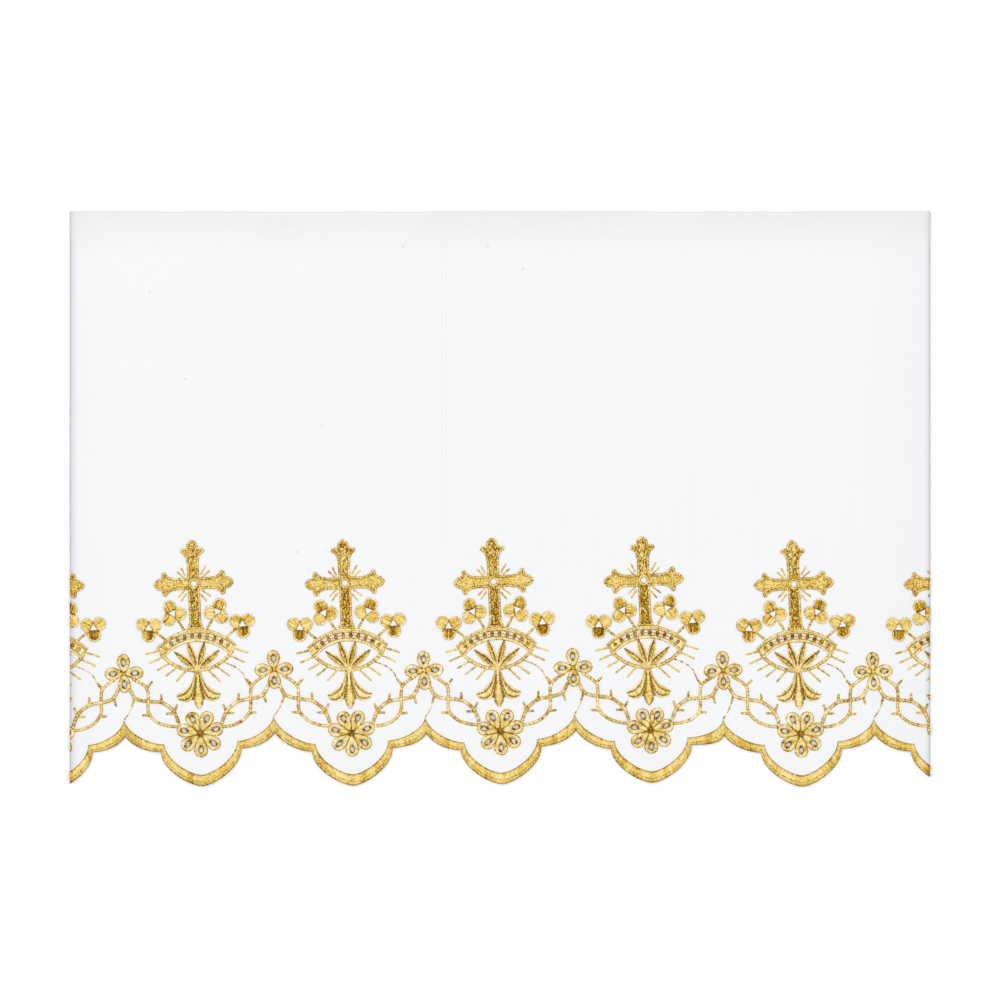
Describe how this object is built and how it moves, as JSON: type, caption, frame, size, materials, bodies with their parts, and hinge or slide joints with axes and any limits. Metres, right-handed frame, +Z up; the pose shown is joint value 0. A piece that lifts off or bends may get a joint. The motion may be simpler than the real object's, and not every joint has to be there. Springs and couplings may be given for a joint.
{
  "type": "altar cloth",
  "caption": "Flat length of white linen altar cloth, plain at the back and sides, with a scalloped front edge and a border embroidered in gold thread.",
  "frame": {"origin": "middle of the underside, which lies on the surface, at the middle of the cloth's width and of its depth", "axes": "+X to the right along the border, +Y from the scallops towards the plain back edge, +Z up out of the face of the cloth"},
  "size_m": [0.42, 0.281, 0.0021],
  "materials": {
    "linen": "fine, smooth plain weave in bright white, faintly puckered round the stitching",
    "gold_thread": "satin stitch in old gold thread with a soft metallic sheen, darker where the stitches stand in relief"
  },
  "bodies": {
    "root": {"arch_0": "gold_thread", "arch_0_scrap_1": "gold_thread", "arch_1": "gold_thread", "arch_2": "gold_thread", "arch_3": "gold_thread", "arch_4": "gold_thread", "arch_5": "gold_thread", "arch_6": "gold_thread", "arch_6_scrap_1": "gold_thread", "cloth": "linen", "cross_0": "gold_thread", "cross_1": "gold_thread", "cross_2": "gold_thread", "cross_3": "gold_thread", "cross_4": "gold_thread", "cross_5": "gold_thread", "cross_6": "gold_thread", "foot_1": "gold_thread", "foot_2": "gold_thread", "foot_3": "gold_thread", "foot_4": "gold_thread", "foot_5": "gold_thread", "foot_6": "gold_thread", "foot_6_scrap_1": "gold_thread", "large_flower_0": "gold_thread", "large_flower_1": "gold_thread", "large_flower_2": "gold_thread", "large_flower_3": "gold_thread", "large_flower_4": "gold_thread", "large_flower_5": "gold_thread", "large_flower_6": "gold_thread", "scallop_edge": "gold_thread", "small_flower_0": "gold_thread", "small_flower_1": "gold_thread", "small_flower_2": "gold_thread", "small_flower_3": "gold_thread", "small_flower_4": "gold_thread", "small_flower_5": "gold_thread", "vine_0_right": "gold_thread", "vine_1_left": "gold_thread", "vine_1_right": "gold_thread", "vine_2_left": "gold_thread", "vine_2_right": "gold_thread", "vine_3_left": "gold_thread", "vine_3_right": "gold_thread", "vine_4_left": "gold_thread", "vine_4_right": "gold_thread", "vine_5_left": "gold_thread", "vine_5_right": "gold_thread", "vine_6_left": "gold_thread"}
  },
  "joints": []
}
